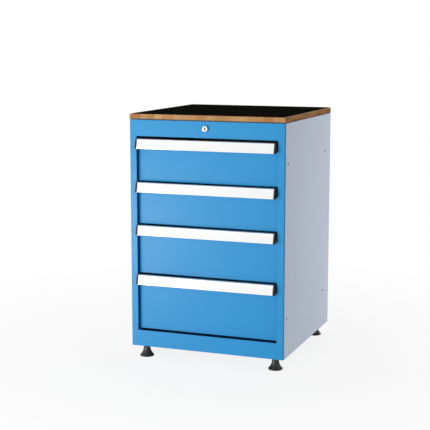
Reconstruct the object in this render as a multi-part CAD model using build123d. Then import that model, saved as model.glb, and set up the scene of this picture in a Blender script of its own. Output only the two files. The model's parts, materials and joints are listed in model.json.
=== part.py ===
from build123d import *
import os
from math import cos, hypot, radians, sin

# Workshop drawer cabinet: a sheet steel body with a row of drawers on ball runners, a wooden worktop
# with a rubber mat, one lock that holds all drawers through a rod and a rear bar, and levelling feet.
# Millimetres. +X is right seen from the front, +Y is back, +Z is up. The origin is on the floor, below
# the middle of the overall box.

# Driving dimensions of the body
cabinet_width = 560.0
cabinet_depth = 570.0
foot_rest_height = 45.0
bottom_rail_height = 57.0
lock_rail_height = 58.0
post_width = 24.5
post_depth = 60.0
post_wrap = 7.0
post_corner_radius = 4.0
rail_return = 30.0
frame_sheet = 1.5
frame_lip = 7.0
panel_sheet = 1.2
panel_flange = 15.0
top_inset = 10.0
base_rise = 20.0

# Driving dimensions of the side holes, which take M8 bolts
side_hole_radius = 4.25
side_hole_front_inset = 34.0
side_hole_rear_inset = 76.0
side_hole_end_inset = 137.5

# Driving dimensions of the worktop
board_thickness = 18.0
board_edge_radius = 1.0
mat_thickness = 2.0
mat_inset = 6.0
mat_corner_radius = 4.0
board_screw_inset = 80.0
board_screw_radius = 2.25
board_screw_head_radius = 4.5
board_screw_head_height = 2.6
board_screw_depth = 13.0

# Driving dimensions of the drawers, whose pitches are the heights that they take in the opening
shallow_pitch = 150.0
medium_pitch = 175.0
deep_pitch = 200.0
drawer_top_gap = 5.5
drawer_bottom_gap = 4.5
front_gap = 8.0
front_side_gap = 3.0
front_recess = 16.0
front_return = 10.0
front_sheet = 1.2
box_sheet = 1.0
box_rise = 6.0
box_top_drop = 31.5
drawer_rear_space = 42.0

# Driving dimensions of the handle, measured forward from the front plate and down from the handle's top
handle_gap = 3.0
handle_top_reach = 30.0
handle_reach = 38.0
handle_drop = 33.0
handle_lip = 12.0
handle_web_drop = 9.0
handle_leg = 24.0
handle_wall = 3.0
handle_web = 2.0
handle_end_inset = 6.0
handle_edge_radius = 1.2
handle_top_radius = 2.5
cap_thickness = 6.0
label_lip_top = 6.0
label_lip_bottom = 2.5
label_lip_overhang = 1.0
label_lip_thickness = 0.8
label_slot = 0.8
label_thickness = 0.6
label_clearance = 0.15

# Driving dimensions of the ball runners, measured inwards from their mounting plane and up from their middle
runner_thickness = 12.7
runner_height = 45.0
runner_sheet = 1.2
runner_gap = 1.0
runner_rise = 46.0
runner_front_setback = 28.0
runner_rear_setback = 62.0
runner_end_overlap = 30.0
ball_radius = 2.15
ball_clearance = 0.3
cage_width = 4.4
cage_thickness = 0.6
cage_end_margin = 25.0
balls_per_cage = 6

# Driving dimensions of the lock, its rod and the rear bar
lock_drop = 26.0
lock_face_radius = 10.0
lock_proud = 8.0
lock_body_radius = 8.0
lock_body_length = 25.0
lock_nut_radius = 13.0
lock_nut_thickness = 5.0
plug_radius = 6.2
keyway_width = 3.2
keyway_height = 10.0
keyway_depth = 12.0
rod_radius = 4.0
crank_radius = 8.0
crank_half_turn = 45.0
crank_disc_radius = 14.0
crank_disc_thickness = 4.0
crank_pin_radius = 3.0
crank_slot_clearance = 0.6
rod_hanger_half_width = 16.0
rod_hanger_setback = 70.0
bar_half_width = 12.0
bar_head_half_width = 18.0
bar_thickness = 3.0
bar_rear_setback = 22.0
bar_tail = 45.0
guide_height = 14.0
guide_wall = 6.0
guide_rise = 15.0
catch_half_width = 10.0
catch_reach = 12.0
catch_drop_from_box_top = 20.0
hook_half_width = 6.0
hook_thickness = 5.0
hook_arm_height = 6.5

# Driving dimensions of the feet
foot_inset = 40.0
pad_radius = 25.0
pad_rim = 5.0
pad_chamfer = 1.0
neck_radius = 12.0
neck_start = 34.0
pad_overlap = 1.0
foot_retract = 15.0
stud_radius = 5.0
stud_socket = 22.0
bush_radius = 10.0
bush_height = 14.0

# Named clearances
running_clearance = 0.1
sliding_clearance = 0.3
foot_clearance = 3.0
hook_clearance = 1.0

# Places worked out from the driving dimensions
pitches = (shallow_pitch, shallow_pitch, medium_pitch, deep_pitch)
body_height = bottom_rail_height + drawer_bottom_gap + sum(pitches) + drawer_top_gap + lock_rail_height
half_width = cabinet_width / 2
panel_inner = half_width - panel_sheet
opening_half = half_width - post_width
front_y = (handle_reach - front_recess - cabinet_depth) / 2
back_y = front_y + cabinet_depth
body_z = foot_rest_height
top_z = body_z + body_height
frame_top = top_z - frame_sheet
base_z = body_z + base_rise
base_top = base_z + frame_sheet
face_y = front_y + front_recess
front_half = opening_half - front_side_gap
box_half = opening_half - runner_thickness
box_front_y = face_y + front_sheet
box_back_y = back_y - drawer_rear_space
upright_y = back_y - side_hole_rear_inset
upright_front_y = upright_y - post_depth / 2
runner_front_y = front_y + runner_front_setback
runner_back_y = back_y - runner_rear_setback
runner_length = runner_back_y - runner_front_y
drawer_travel = runner_length - runner_end_overlap
bend_radius = 0.8 * frame_sheet
front_bend_radius = 0.8 * front_sheet

# Places of the lock
lock_z = top_z - lock_drop
crank_lift = 2 * crank_radius * sin(radians(crank_half_turn))
pin_x = -crank_radius * cos(radians(crank_half_turn))
pin_z = lock_z - crank_lift / 2
bar_y = back_y - bar_rear_setback
crank_back_y = bar_y - 2 * hook_clearance
crank_front_y = crank_back_y - crank_disc_thickness
plug_back_y = front_y + lock_body_length + 2 * hook_clearance
catch_lip_drop = crank_lift + hook_clearance


def span(x0, x1, y0, y1, z0, z1):
    """A block between two corners."""
    return Pos((x0 + x1) / 2, (y0 + y1) / 2, (z0 + z1) / 2) * Box(x1 - x0, y1 - y0, z1 - z0)


def round_x(y, z, radius, x0, x1):
    """A cylinder along X."""
    return Pos((x0 + x1) / 2, y, z) * Rot(Y=90) * Cylinder(radius, x1 - x0)


def round_y(x, z, radius, y0, y1):
    """A cylinder along Y."""
    return Pos(x, (y0 + y1) / 2, z) * Rot(X=90) * Cylinder(radius, y1 - y0)


def round_z(x, y, radius, z0, z1):
    """A cylinder along Z."""
    return Pos(x, y, (z0 + z1) / 2) * Cylinder(radius, z1 - z0)


def other_side(shape):
    """The left-hand twin of a right-hand piece."""
    return mirror(shape, about=Plane.YZ)


def along_x(points, x0, x1):
    """A closed outline of (y, z) points, pushed along X from x0 to x1."""
    outline = make_face(Polyline(*points, close=True))
    return extrude(Plane.YZ.offset(x0) * outline, amount=x1 - x0)


def drawer_places(index):
    """Heights of one drawer: its front, its box, its runner and its rear catch."""
    zone_top = top_z - lock_rail_height - drawer_top_gap - sum(pitches[:index])
    front_bottom = zone_top - pitches[index]
    front_top = zone_top - front_gap
    box_bottom = front_bottom + box_rise
    box_top = front_top - box_top_drop
    return {
        "front_bottom": front_bottom,
        "front_top": front_top,
        "handle_top": zone_top - handle_gap,
        "box_bottom": box_bottom,
        "box_top": box_top,
        "runner": box_bottom + runner_rise,
        "catch": box_top - catch_drop_from_box_top,
    }


drawers = [drawer_places(index) for index in range(len(pitches))]


# Body: posts, rails and panels

def side_hole_cutters(x0, x1):
    """Four bolt holes through a right-hand side."""
    cutters = []
    for y in (front_y + side_hole_front_inset, upright_y):
        for z in (body_z + side_hole_end_inset, top_z - side_hole_end_inset):
            cutters.append(round_x(y, z, side_hole_radius, x0, x1))
    return cutters


def upright_edge(shape, x, y):
    """The upright edge of a shape that is nearest to a place in plan."""
    edges = shape.edges().filter_by(Axis.Z)
    return edges.sort_by(lambda edge: hypot(edge.center().X - x, edge.center().Y - y))[0]


def front_post():
    """Right-hand post, whose corner laps round to the side and whose web stands back from the opening."""
    lap_back = front_y + post_wrap
    back = front_y + post_depth
    hollow_x = half_width - frame_sheet
    hollow_y = front_y + frame_sheet
    block = span(opening_half, half_width, front_y, lap_back, body_z, frame_top)
    block = fillet(upright_edge(block, half_width, front_y), post_corner_radius)
    hollow = span(opening_half, hollow_x, hollow_y, lap_back, body_z, frame_top)
    hollow = fillet(upright_edge(hollow, hollow_x, hollow_y), post_corner_radius - frame_sheet)
    lip_x = opening_half + frame_lip
    jog_front = runner_front_y - frame_sheet
    web = span(lip_x, lip_x + frame_sheet, front_y, runner_front_y, body_z, frame_top)
    jog = span(opening_half, lip_x + frame_sheet, jog_front, runner_front_y, body_z, frame_top)
    inner = span(opening_half, opening_half + frame_sheet, jog_front, back, body_z, frame_top)
    step = span(panel_inner - frame_sheet, half_width, lap_back - frame_sheet, lap_back, body_z, frame_top)
    outer = span(panel_inner - frame_sheet, panel_inner, lap_back - frame_sheet, back, body_z, frame_top)
    post = block - hollow + web + jog + inner + step + outer
    return post - side_hole_cutters(panel_inner - frame_sheet, half_width)


def rear_upright():
    """Right-hand upright, a channel that is open to the back and carries the runners' rear ends."""
    y0 = upright_front_y
    y1 = y0 + post_depth
    inner = span(opening_half, opening_half + frame_sheet, y0, y1, body_z, frame_top)
    outer = span(panel_inner - frame_sheet, panel_inner, y0, y1, body_z, frame_top)
    web = span(opening_half, panel_inner, y0, y0 + frame_sheet, body_z, frame_top)
    return inner + outer + web - side_hole_cutters(panel_inner - frame_sheet, panel_inner)


def lock_rail():
    """Top rail of the front frame, with a lip over the drawers, two returns and the hole for the lock."""
    z0 = top_z - lock_rail_height
    lower_z = z0 + frame_lip
    back = front_y + rail_return
    face = span(-opening_half, opening_half, front_y, front_y + frame_sheet, z0, frame_top)
    lower = span(-opening_half, opening_half, front_y, back, lower_z, lower_z + frame_sheet)
    upper = span(-opening_half, opening_half, front_y, back, frame_top - frame_sheet, frame_top)
    rail = face + lower + upper
    long_edges = rail.edges().filter_by(Axis.X).group_by(Axis.Y)[0]
    rail = fillet(long_edges, bend_radius)
    return rail - round_y(0, lock_z, lock_body_radius + running_clearance, front_y, front_y + frame_sheet)


def bottom_rail():
    """Bottom rail of the front frame, with a lip under the drawers and returns clear of the feet's necks."""
    z1 = body_z + bottom_rail_height
    upper_z = z1 - frame_lip
    lower_back = front_y + foot_inset - neck_radius - foot_clearance
    face = span(-opening_half, opening_half, front_y, front_y + frame_sheet, body_z, z1)
    lower = span(-opening_half, opening_half, front_y, lower_back, body_z, body_z + frame_sheet)
    upper = span(-opening_half, opening_half, front_y, front_y + rail_return, upper_z - frame_sheet, upper_z)
    rail = face + lower + upper
    long_edges = rail.edges().filter_by(Axis.X).group_by(Axis.Y)[0]
    return fillet(long_edges, bend_radius)


def side_panel():
    """Right-hand side panel, turned in at its foot and top between the posts, and at its back."""
    flange_front = front_y + post_depth + foot_clearance
    flange_back = upright_front_y - foot_clearance
    flange_x = panel_inner - panel_flange
    rear = back_y - panel_sheet
    panel = span(panel_inner, half_width, front_y + post_wrap, back_y, body_z, frame_top)
    panel += span(flange_x, half_width, flange_front, flange_back, body_z, body_z + panel_sheet)
    panel += span(flange_x, half_width, flange_front, flange_back, frame_top - panel_sheet, frame_top)
    panel += span(flange_x, half_width, rear - panel_sheet, rear, body_z, frame_top)
    return panel - side_hole_cutters(panel_inner, half_width)


def guide_block(z0):
    """Guide on the back panel, with a slot that the locking bar slides in."""
    outer_half = bar_half_width + guide_wall
    slot_half = bar_half_width + sliding_clearance
    slot_front = bar_y - sliding_clearance
    slot_back = bar_y + bar_thickness + sliding_clearance
    z1 = z0 + guide_height
    block = span(-outer_half, outer_half, slot_front - frame_sheet, back_y - panel_sheet, z0, z1)
    return block - span(-slot_half, slot_half, slot_front, slot_back, z0, z1)


def back_panel():
    """Back panel between the side panels, with one bar guide above each drawer's catch."""
    panel = span(-panel_inner, panel_inner, back_y - panel_sheet, back_y, body_z, frame_top)
    for places in drawers:
        panel += guide_block(places["catch"] + guide_rise)
    return panel


def foot_places():
    """Names and axes of the four feet."""
    x = half_width - foot_inset
    front = front_y + foot_inset
    back = back_y - foot_inset
    return {
        "front_left": (-x, front),
        "front_right": (x, front),
        "rear_left": (-x, back),
        "rear_right": (x, back),
    }


def base_panel():
    """Floor of the body, out to the side panels between the posts, with holes for the feet's studs."""
    y0 = front_y + frame_sheet
    y1 = back_y - panel_sheet
    ear_front = front_y + post_depth + foot_clearance
    ear_back = upright_front_y - foot_clearance
    panel = span(-opening_half, opening_half, y0, y1, base_z, base_top)
    panel += span(-panel_inner, panel_inner, ear_front, ear_back, base_z, base_top)
    for x, y in foot_places().values():
        panel -= round_z(x, y, stud_radius + sliding_clearance, base_z, base_top)
    return panel


def board_screw_places():
    """Axes of the screws that hold the board, which come up through the top panel."""
    x = half_width - board_screw_inset
    front = front_y + board_screw_inset
    back = back_y - board_screw_inset
    return [(-x, front), (x, front), (-x, back), (x, back)]


def top_panel():
    """Top of the body, laid on the frame and set in from it, with a hanger for the lock rod."""
    x = half_width - top_inset
    panel = span(-x, x, front_y + top_inset, back_y - top_inset, frame_top, top_z)
    hanger_y = back_y - rod_hanger_setback
    half = rod_hanger_half_width
    hanger_back = hanger_y + frame_sheet
    hanger = span(-half, half, hanger_y, hanger_back, lock_z - half, frame_top)
    hole = round_y(0, lock_z, rod_radius + running_clearance, hanger_y, hanger_back)
    panel = panel + hanger - hole
    for x, y in board_screw_places():
        panel -= round_z(x, y, board_screw_radius + running_clearance, frame_top, top_z)
    return panel


# Worktop

def worktop_board():
    """Wooden board, flush with the body, with blind holes for its screws."""
    top = top_z + board_thickness
    board = span(-half_width, half_width, front_y, back_y, top_z, top)
    board = fillet(board.edges(), board_edge_radius)
    depth = board_screw_depth + running_clearance
    for x, y in board_screw_places():
        board -= round_z(x, y, board_screw_radius + running_clearance, top_z, top_z + depth)
    return board


def worktop_mat():
    """Rubber mat on the board, set in from its edges."""
    x = half_width - mat_inset
    z0 = top_z + board_thickness
    mat = span(-x, x, front_y + mat_inset, back_y - mat_inset, z0, z0 + mat_thickness)
    return fillet(mat.edges().filter_by(Axis.Z), mat_corner_radius)


def worktop_screws():
    """Pan head screws from below."""
    screws = []
    for x, y in board_screw_places():
        head = round_z(x, y, board_screw_head_radius, frame_top - board_screw_head_height, frame_top)
        shank = round_z(x, y, board_screw_radius, frame_top, top_z + board_screw_depth)
        screws.append(head + shank)
    return screws


# Lock, rod and locking bar

def lock_barrel():
    """Fixed barrel of the lock, with its round face ahead of the rail."""
    y0 = front_y - lock_proud
    y1 = front_y + lock_body_length
    face = round_y(0, lock_z, lock_face_radius, y0, front_y)
    rim = face.edges().group_by(Axis.Y)[0]
    face = fillet(rim, handle_edge_radius)
    body = round_y(0, lock_z, lock_body_radius, front_y, y1)
    bore = round_y(0, lock_z, plug_radius + running_clearance, y0, y1)
    return face + body - bore


def lock_nut():
    """Hexagon nut that clamps the barrel to the rail from behind."""
    y0 = front_y + frame_sheet
    hexagon = Plane.XZ.offset(-y0) * RegularPolygon(lock_nut_radius, 6)
    nut = extrude(Pos(Z=lock_z) * hexagon, amount=-lock_nut_thickness)
    return nut - round_y(0, lock_z, lock_body_radius + running_clearance, y0, y0 + lock_nut_thickness)


def lock_plug():
    """Turning plug, with an upright keyway."""
    y0 = front_y - lock_proud
    plug = round_y(0, lock_z, plug_radius, y0, plug_back_y)
    half = keyway_width / 2
    rise = keyway_height / 2
    return plug - span(-half, half, y0, y0 + keyway_depth, lock_z - rise, lock_z + rise)


def lock_drive_rod():
    """Rod from the plug to the back, with a crank disc and pin that lift the locking bar."""
    rod = round_y(0, lock_z, rod_radius, plug_back_y, crank_front_y)
    disc = round_y(0, lock_z, crank_disc_radius, crank_front_y, crank_back_y)
    pin = round_y(pin_x, pin_z, crank_pin_radius, crank_back_y, bar_y + bar_thickness + 2 * hook_clearance)
    return rod + disc + pin


def locking_bar():
    """Upright bar behind the drawers, with a slotted head and one hook below each drawer's catch."""
    bar_back = bar_y + bar_thickness
    slot_rise = crank_pin_radius + crank_slot_clearance
    slot_left = -crank_radius - crank_pin_radius - hook_clearance
    slot_right = pin_x + crank_pin_radius + hook_clearance
    head_bottom = pin_z - crank_disc_radius
    head_top = pin_z + crank_disc_radius
    tail = drawers[-1]["catch"] - bar_tail
    head_half = bar_head_half_width
    bar = span(-bar_half_width, bar_half_width, bar_y, bar_back, tail, head_top)
    bar += span(-head_half, head_half, bar_y, bar_back, head_bottom, head_top)
    bar -= span(slot_left, slot_right, bar_y, bar_back, pin_z - slot_rise, pin_z + slot_rise)
    lip_front = box_back_y + catch_reach - frame_sheet
    finger_back = lip_front - 2 * hook_clearance
    finger_front = finger_back - hook_thickness
    half = hook_half_width
    for places in drawers:
        finger_top = places["catch"] - catch_lip_drop - 1.5 * hook_clearance
        arm_top = finger_top - crank_lift - hook_clearance
        arm_bottom = arm_top - hook_arm_height
        bar += span(-half, half, finger_front, finger_back, arm_bottom, finger_top)
        bar += span(-half, half, finger_back, bar_y, arm_bottom, arm_top)
    return bar


# Drawers

def drawer_box(places):
    """Open tray, with a hooked catch on its back that the locking bar can hold."""
    z0 = places["box_bottom"]
    z1 = places["box_top"]
    inner_half = box_half - box_sheet
    tray = span(-box_half, box_half, box_front_y, box_back_y, z0, z1)
    tray -= span(-inner_half, inner_half, box_front_y + box_sheet, box_back_y - box_sheet, z0 + box_sheet, z1)
    catch = places["catch"]
    lip_back = box_back_y + catch_reach
    half = catch_half_width
    tray += span(-half, half, box_back_y, lip_back, catch - frame_sheet, catch)
    tray += span(-half, half, lip_back - frame_sheet, lip_back, catch - catch_lip_drop, catch)
    return tray


def drawer_front(places):
    """Front plate with turned-back edges, which the tray's front wall is welded into."""
    z0 = places["front_bottom"]
    z1 = places["front_top"]
    inner = front_half - front_sheet
    plate = span(-front_half, front_half, face_y, face_y + front_return, z0, z1)
    plate = fillet(plate.edges().group_by(Axis.Y)[0], front_bend_radius)
    hollow = span(-inner, inner, box_front_y, face_y + front_return, z0 + front_sheet, z1 - front_sheet)
    return plate - hollow


# The handle's face slants forward from its top edge
face_slant_y = handle_reach - handle_top_reach
face_length = hypot(face_slant_y, handle_drop)
slant_forward = face_slant_y / face_length
slant_down = handle_drop / face_length


def on_face(distance, depth):
    """Forward and height of a point, from its distance down the slanted face and its depth below it."""
    forward = handle_top_reach + slant_forward * distance - slant_down * depth
    height = -slant_down * distance - slant_forward * depth
    return (forward, height)


def handle_frame(points, places):
    """Forward and height points of a handle section, as (y, z) points of the cabinet."""
    return [(face_y - forward, places["handle_top"] + height) for forward, height in points]


def soften(shape, places, point, radius):
    """Round the long edge of a handle section that lies at the given point."""
    y, z = handle_frame([point], places)[0]
    lines = shape.edges().filter_by(Axis.X)
    return fillet(lines.sort_by(lambda line: hypot(line.center().Y - y, line.center().Z - z))[0], radius)


def behind_face(drop):
    """Forward and height of a point on the rear of the slanted face, at a drop below the handle's top."""
    return on_face((drop - slant_forward * handle_wall) / slant_down, handle_wall)


def drawer_handle(places):
    """Full width handle section: a leg, a web, and a slanted face with a top lip and a label channel."""
    lip_back = handle_top_reach - handle_lip
    web_low = handle_web_drop + handle_web
    outline = [
        (lip_back, 0),
        (handle_top_reach, 0),
        (handle_reach, -handle_drop),
        on_face(face_length, handle_wall),
        behind_face(web_low),
        (handle_web, -web_low),
        (handle_web, -handle_leg),
        (0, -handle_leg),
        (0, -handle_web_drop),
        behind_face(handle_web_drop),
        behind_face(handle_web),
        (lip_back, -handle_web),
    ]
    half = front_half - handle_end_inset
    section = along_x(handle_frame(outline, places), -half, half)
    section = soften(section, places, outline[1], handle_top_radius)
    section = soften(section, places, outline[2], handle_edge_radius)
    mouth_top = label_lip_top
    mouth_end = face_length - label_lip_bottom
    slot_top = mouth_top - label_lip_overhang
    slot_end = mouth_end + label_lip_overhang
    lip = label_lip_thickness
    floor = lip + label_slot
    mouth = [
        on_face(mouth_top, -lip),
        on_face(mouth_end, -lip),
        on_face(mouth_end, lip),
        on_face(mouth_top, lip),
    ]
    slot = [
        on_face(slot_top, lip),
        on_face(slot_end, lip),
        on_face(slot_end, floor),
        on_face(slot_top, floor),
    ]
    section -= along_x(handle_frame(mouth, places), -half, half)
    return section - along_x(handle_frame(slot, places), -half, half)


def drawer_label_strip(places):
    """Blank strip in the handle's label channel."""
    floor = label_lip_thickness + label_slot
    top = label_lip_top - label_lip_overhang + label_clearance
    end = face_length - label_lip_bottom + label_lip_overhang - label_clearance
    front = floor - label_thickness
    outline = [on_face(top, front), on_face(end, front), on_face(end, floor), on_face(top, floor)]
    half = front_half - handle_end_inset
    return along_x(handle_frame(outline, places), -half, half)


def drawer_handle_caps(places):
    """Moulded caps that close both ends of the handle section."""
    outline = [
        (0, 0),
        (handle_top_reach, 0),
        (handle_reach, -handle_drop),
        on_face(face_length, 2 * handle_wall),
        (0, -handle_leg - handle_web),
    ]
    start = front_half - handle_end_inset
    cap = along_x(handle_frame(outline, places), start, start + cap_thickness)
    cap = soften(cap, places, outline[1], handle_top_radius)
    cap = soften(cap, places, outline[2], handle_edge_radius)
    return [cap, other_side(cap)]


# Ball runners, made on the right-hand side and mirrored

race_gap = 2 * (ball_radius + ball_clearance)
outer_half_height = runner_height / 2
middle_half_height = outer_half_height - runner_sheet - race_gap
inner_half_height = middle_half_height - runner_sheet - race_gap
middle_web = runner_sheet + runner_gap
inner_flange = middle_web + runner_sheet + runner_gap
flange_end = runner_thickness - runner_sheet - runner_gap / 2


def channel(inset, flange_inset, half_height, z):
    """A channel from its web's outer face to its flanges' ends, along the whole runner."""
    web_end = inset + runner_sheet if flange_inset > inset else inset - runner_sheet
    x_web = sorted((opening_half - inset, opening_half - web_end))
    x_flange = sorted((opening_half - inset, opening_half - flange_inset))
    y0 = runner_front_y
    y1 = runner_back_y
    shape = span(x_web[0], x_web[1], y0, y1, z - half_height, z + half_height)
    shape += span(x_flange[0], x_flange[1], y0, y1, z + half_height - runner_sheet, z + half_height)
    shape += span(x_flange[0], x_flange[1], y0, y1, z - half_height, z - half_height + runner_sheet)
    return shape


def both_sides(shape):
    """A right-hand piece and its left-hand twin."""
    return [shape, other_side(shape)]


def cabinet_runners():
    """Members that are fixed to the posts and uprights, two for each drawer."""
    members = []
    for places in drawers:
        member = channel(0, flange_end - runner_gap, outer_half_height, places["runner"])
        members += both_sides(member)
    return members


def middle_runners(places):
    """Members that follow the drawer at half its travel."""
    return both_sides(channel(middle_web, flange_end, middle_half_height, places["runner"]))


def drawer_runners(places):
    """Members on the drawer's sides."""
    return both_sides(channel(runner_thickness, inner_flange, inner_half_height, places["runner"]))


def ball_cage(y0, y1, z):
    """A retainer strip with its balls, in one race of a right-hand runner."""
    x = opening_half - (inner_flange + flange_end) / 2
    half = cage_width / 2
    rise = cage_thickness / 2
    cage = span(x - half, x + half, y0, y1, z - rise, z + rise)
    step = (y1 - y0) / balls_per_cage
    for number in range(balls_per_cage):
        cage += Pos(x, y0 + step * (number + 0.5), z) * Sphere(ball_radius)
    return cage


def runner_cages(places):
    """Cages of both runners of a drawer: the outer races at the back, the inner races at the front."""
    z = places["runner"]
    cage_length = runner_length - drawer_travel / 2 - 2 * cage_end_margin
    outer_back = runner_back_y - cage_end_margin
    inner_front = runner_front_y + cage_end_margin
    outer_race = outer_half_height - runner_sheet - race_gap / 2
    inner_race = middle_half_height - runner_sheet - race_gap / 2
    cages = []
    for direction in (1, -1):
        cages += both_sides(ball_cage(outer_back - cage_length, outer_back, z + direction * outer_race))
        cages += both_sides(ball_cage(inner_front, inner_front + cage_length, z + direction * inner_race))
    return cages


# Levelling feet

pad_top = body_z + pad_overlap
stud_top = base_top + bush_height + foot_retract - foot_clearance


def foot_pad(x, y):
    """Bell shaped pad with a socket for its stud."""
    neck_rise = neck_start - pad_rim
    neck_inset = pad_radius - neck_radius
    neck_curve = (neck_rise ** 2 + neck_inset ** 2) / (2 * neck_inset)
    base = Polyline((0, 0), (pad_radius - pad_chamfer, 0), (pad_radius, pad_chamfer), (pad_radius, pad_rim))
    bell = RadiusArc((pad_radius, pad_rim), (neck_radius, neck_start), neck_curve)
    neck = Polyline((neck_radius, neck_start), (neck_radius, pad_top), (0, pad_top), (0, 0))
    pad = revolve(Plane.XZ * make_face(base + bell + neck), Axis.Z)
    socket = round_z(0, 0, stud_radius + running_clearance, pad_top - stud_socket, pad_top)
    return Pos(x, y, 0) * (pad - socket)


def foot_stud(x, y):
    """Threaded stud, set in the pad and screwed through the bush on the base."""
    stud = round_z(x, y, stud_radius, pad_top - stud_socket, stud_top)
    return chamfer(stud.edges().group_by(Axis.Z)[-1], pad_chamfer)


def foot_bushes():
    """Threaded bushes that are welded on the base."""
    bushes = []
    for x, y in foot_places().values():
        bush = round_z(x, y, bush_radius, base_top, base_top + bush_height)
        bushes.append(bush - round_z(x, y, stud_radius + running_clearance, base_top, base_top + bush_height))
    return bushes


# All nodes, each with one solid or a list of like solids

nodes = {
    "left_front_post": other_side(front_post()),
    "right_front_post": front_post(),
    "rear_uprights": both_sides(rear_upright()),
    "lock_rail": lock_rail(),
    "bottom_rail": bottom_rail(),
    "left_side_panel": other_side(side_panel()),
    "right_side_panel": side_panel(),
    "back_panel": back_panel(),
    "base_panel": base_panel(),
    "top_panel": top_panel(),
    "worktop_board": worktop_board(),
    "worktop_mat": worktop_mat(),
    "worktop_screws": worktop_screws(),
    "lock_barrel": lock_barrel(),
    "lock_nut": lock_nut(),
    "lock_plug": lock_plug(),
    "lock_drive_rod": lock_drive_rod(),
    "locking_bar": locking_bar(),
    "cabinet_runners": cabinet_runners(),
    "foot_bushes": foot_bushes(),
}

for number, heights in enumerate(drawers, start=1):
    nodes[f"drawer_{number}_box"] = drawer_box(heights)
    nodes[f"drawer_{number}_front"] = drawer_front(heights)
    nodes[f"drawer_{number}_handle"] = drawer_handle(heights)
    nodes[f"drawer_{number}_handle_caps"] = drawer_handle_caps(heights)
    nodes[f"drawer_{number}_label_strip"] = drawer_label_strip(heights)
    nodes[f"drawer_{number}_runners"] = drawer_runners(heights)
    nodes[f"drawer_{number}_middle_runners"] = middle_runners(heights)
    nodes[f"drawer_{number}_ball_cages"] = runner_cages(heights)

for corner, (foot_x, foot_y) in foot_places().items():
    nodes[f"{corner}_foot_pad"] = foot_pad(foot_x, foot_y)
    nodes[f"{corner}_foot_stud"] = foot_stud(foot_x, foot_y)

os.makedirs("parts", exist_ok=True)
for name, shape in nodes.items():
    solids = shape if isinstance(shape, list) else [shape]
    export_step(Compound([solid for item in solids for solid in item.solids()]), f"parts/{name}.step")
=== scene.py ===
import json
import math

import bmesh
import bpy
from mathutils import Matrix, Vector


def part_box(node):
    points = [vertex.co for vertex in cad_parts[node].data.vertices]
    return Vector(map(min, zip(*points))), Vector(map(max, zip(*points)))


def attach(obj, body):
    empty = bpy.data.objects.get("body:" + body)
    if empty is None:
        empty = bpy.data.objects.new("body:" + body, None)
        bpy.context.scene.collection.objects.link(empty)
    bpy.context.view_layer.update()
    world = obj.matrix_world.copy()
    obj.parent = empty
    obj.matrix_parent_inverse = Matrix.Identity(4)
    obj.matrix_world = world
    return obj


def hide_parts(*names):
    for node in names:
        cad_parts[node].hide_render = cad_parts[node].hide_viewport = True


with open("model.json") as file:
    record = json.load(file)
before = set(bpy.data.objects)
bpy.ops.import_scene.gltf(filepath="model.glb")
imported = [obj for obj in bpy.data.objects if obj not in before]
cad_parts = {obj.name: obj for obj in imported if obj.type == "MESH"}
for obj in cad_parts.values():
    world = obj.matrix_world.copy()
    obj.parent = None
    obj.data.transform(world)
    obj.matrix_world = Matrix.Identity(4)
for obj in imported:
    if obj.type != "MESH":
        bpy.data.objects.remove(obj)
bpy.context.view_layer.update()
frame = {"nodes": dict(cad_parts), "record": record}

bl_info = {
    "name": "Workshop Drawer Cabinet",
    "version": (1, 0, 0),
    "blender": (4, 5, 0),
    "location": "View3D > Sidebar > Cabinet",
    "description": "Finishes a steel drawer cabinet: paint, worktop, handles, lock, runners and feet",
    "category": "Object",
}

# Places read from the loaded frame, in metres
BOARD_LOW, BOARD_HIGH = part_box("worktop_board")
MAT_LOW, MAT_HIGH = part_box("worktop_mat")
BACK_LOW, BACK_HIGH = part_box("back_panel")
SIDE_LOW, SIDE_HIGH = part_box("right_side_panel")
PLUG_LOW, PLUG_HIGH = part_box("lock_plug")
PLUG_MIDDLE = (PLUG_LOW + PLUG_HIGH) / 2
SIDE_BOLTS = next(mount for mount in frame["record"]["mounts"] if mount["name"] == "right_side_bolts")

# Numbers and corners in the names of repeated pieces
DRAWERS = (1, 2, 3, 4)
CORNERS = ("front_left", "front_right", "rear_left", "rear_right")

# Units and small sizes, in metres
MILLIMETRE = 0.001
KEYWAY_HALF_WIDTH = 2.0 * MILLIMETRE
KEYWAY_HALF_HEIGHT = 5.3 * MILLIMETRE
KEYWAY_FADE = 0.4 * MILLIMETRE
TURNING_PITCH = 0.7 * MILLIMETRE

# Shares of the studs' thread pitch
THREAD_DEPTH = 0.55
THREAD_RIDGE = 0.5
THREAD_RUNOUT = 1.2
THREAD_START = 0.6

# The board's sway in stave widths, the share of its tone that alternates, and its long edges' extra roughness
STAVE_SWAY = 2.2
ALTERNATING_SHARE = 0.3
EDGE_ROUGHNESS = 0.48

# Fixed tones
WHITE = (1.0, 1.0, 1.0, 1.0)
# Tones for painted shade: the first in holes, along the lap seam and under the board, the second on the lock
# barrel's flank, the third in the keyway
PAINTED_SHADE_TONE = (0.012, 0.013, 0.016, 1.0)
FLANK_SHADE_TONE = (0.03, 0.035, 0.045, 1.0)
KEYWAY_SHADE_TONE = (0.012, 0.012, 0.013, 1.0)
LATE_WOOD = (0.86, 0.82, 0.77, 1.0)
EARLY_WOOD = (1.05, 1.04, 1.02, 1.0)
PORE_TINT = (0.80, 0.74, 0.68, 1.0)
FLECK_TINT = (0.72, 0.62, 0.53, 1.0)
GLUE_LINE = (0.10, 0.055, 0.025, 1.0)

# Where each lamp stands, what it looks at, and its width and height, in metres
LAMPS = {
    "key": ((-0.8, -2.9, 0.6), (0.0, -0.27, 0.45), (1.4, 1.0)),
    "sheen": ((-1.34, -1.86, 0.13), (-0.28, -0.27, 0.40), (0.7, 0.25)),
    "side": ((2.1, 1.85, 0.2), (0.28, 0.0, 0.25), (1.2, 0.4)),
    "rear": ((-2.2, 2.6, 1.3), (0.0, 0.29, 0.45), (1.6, 1.6)),
}

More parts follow.
